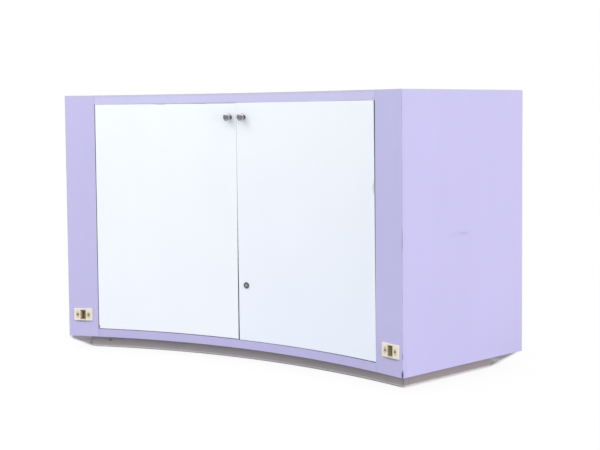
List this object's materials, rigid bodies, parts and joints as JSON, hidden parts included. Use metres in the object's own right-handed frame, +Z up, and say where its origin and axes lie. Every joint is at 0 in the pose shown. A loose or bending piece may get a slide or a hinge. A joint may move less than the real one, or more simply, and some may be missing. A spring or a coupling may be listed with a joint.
{
  "type": "curved jewelry display case",
  "caption": "Curved shop display case with hinged doors and a cam lock on the concave staff side, curved glass on the customer side, a glass top and shelf, sockets and a recessed plinth.",
  "frame": {"origin": "centre of the case's box, on the floor", "axes": "+Z up, -Y towards the staff side with the doors, +Y towards the customer side, +X to the right for someone who faces the doors"},
  "size_m": [1.8004, 0.715, 0.966],
  "materials": {
    "lilac_laminate": "satin lilac plastic laminate on particleboard",
    "white_laminate": "satin white plastic laminate on particleboard",
    "plinth_laminate": "matt grey-brown laminate, scuffed",
    "inner_board": "matt white melamine board",
    "clear_glass": "clear float glass",
    "chrome": "bright chrome plate",
    "lock_steel": "dull nickel",
    "zinc_steel": "bright zinc plate",
    "almond_plastic": "almond moulded plastic",
    "socket_plastic": "dark brown moulded plastic",
    "channel_aluminium": "satin anodised",
    "diffuser_plastic": "opal acrylic",
    "lamp_plastic": "coated lamp strip",
    "white_plastic": "white moulded plastic"
  },
  "bodies": {
    "case": {"plinth_staff_board": "plinth_laminate", "plinth_customer_board": "plinth_laminate", "plinth_left_board": "plinth_laminate", "plinth_right_board": "plinth_laminate", "plinth_rib": "inner_board", "base_panel": "inner_board", "left_end_panel": "lilac_laminate", "right_end_panel": "lilac_laminate", "left_stile": "lilac_laminate", "right_stile": "lilac_laminate", "top_rail": "lilac_laminate", "bottom_rail": "lilac_laminate", "customer_lower_panel": "lilac_laminate", "customer_top_rail": "lilac_laminate", "display_deck": "inner_board", "deck_cleats": "inner_board", "staff_ledge": "inner_board", "customer_ledge": "inner_board", "end_ledges": "inner_board", "glass_sill_channel": "channel_aluminium", "glass_end_channels": "channel_aluminium", "customer_glass": "clear_glass", "top_glass": "clear_glass", "glass_shelf": "clear_glass", "shelf_end_rests": "channel_aluminium", "shelf_posts": "chrome", "light_housing": "channel_aluminium", "light_diffuser": "diffuser_plastic", "lamp_strip": "lamp_plastic", "wire_raceway": "white_plastic", "left_socket_plate": "almond_plastic", "right_socket_plate": "almond_plastic", "left_socket_insert": "socket_plastic", "right_socket_insert": "socket_plastic", "socket_boxes": "zinc_steel", "socket_plate_screws": "zinc_steel", "frame_pivot_leaves": "zinc_steel", "frame_pivot_screws": "zinc_steel", "magnetic_catches": "white_plastic", "lock_strike": "zinc_steel", "bolt_strike": "zinc_steel"},
    "left_door": {"left_door": "white_laminate", "left_knob": "chrome", "left_knob_screw": "zinc_steel", "left_door_pivot_leaves": "zinc_steel", "left_door_pivot_screws": "zinc_steel", "left_catch_strike": "zinc_steel", "bolt_housing": "zinc_steel"},
    "right_door": {"right_door": "white_laminate", "right_knob": "chrome", "right_knob_screw": "zinc_steel", "right_door_pivot_leaves": "zinc_steel", "right_door_pivot_screws": "zinc_steel", "right_catch_strike": "zinc_steel", "lock_barrel": "lock_steel", "lock_nut": "lock_steel"},
    "lock_rotor": {"lock_plug": "lock_steel", "lock_cam": "zinc_steel", "cam_screw": "zinc_steel"},
    "bolt": {"bolt_rod": "zinc_steel"}
  },
  "joints": [
    {"name": "left_door_hinge", "type": "hinge", "parent": "case", "child": "left_door", "pos_m": [-0.55663, -0.30202, 0.483], "axis": [0, 0, -1], "range_deg": [0, 110]},
    {"name": "right_door_hinge", "type": "hinge", "parent": "case", "child": "right_door", "pos_m": [0.55663, -0.30202, 0.483], "axis": [0, 0, 1], "range_deg": [0, 110]},
    {"name": "lock_turn", "type": "hinge", "parent": "right_door", "child": "lock_rotor", "pos_m": [0.03225, -0.23474, 0.282], "axis": [-0.0158, -0.9999, 0], "range_deg": [0, 90]},
    {"name": "bolt_slide", "type": "slide", "parent": "left_door", "child": "bolt", "axis": [0, 0, 1], "range_m": [0, 0.016]}
  ]
}
